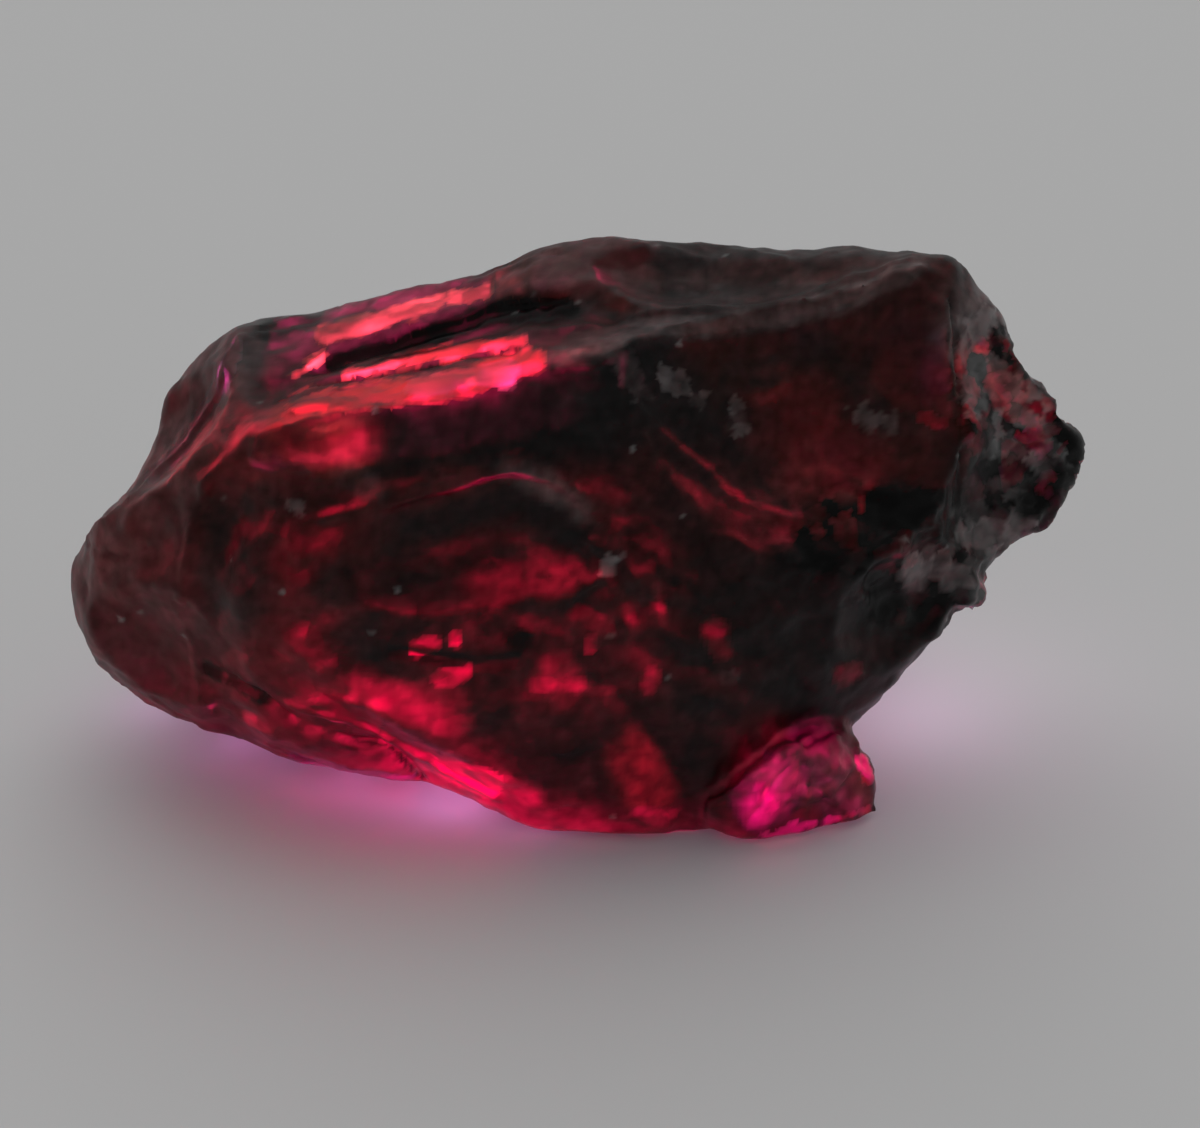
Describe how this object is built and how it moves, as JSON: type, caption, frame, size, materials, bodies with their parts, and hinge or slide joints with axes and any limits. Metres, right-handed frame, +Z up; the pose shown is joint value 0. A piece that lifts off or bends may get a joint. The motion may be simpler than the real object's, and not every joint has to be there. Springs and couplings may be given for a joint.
{
  "type": "rough garnet",
  "caption": "Rough piece of clear dark red garnet with conchoidal fractures, a fluted top left, a chipped right end and a small foot, resting on its flat underside.",
  "frame": {"origin": "on the resting face, under the middle of the stone's box", "axes": "+X along the stone's length, from its rounded end to its pointed end; +Z up; the scooped front faces -Y"},
  "size_m": [0.0218, 0.0132, 0.0113],
  "materials": {
    "garnet": "glossy, clear dark red with a finely broken surface"
  },
  "bodies": {
    "root": {"garnet": "garnet"}
  },
  "joints": []
}
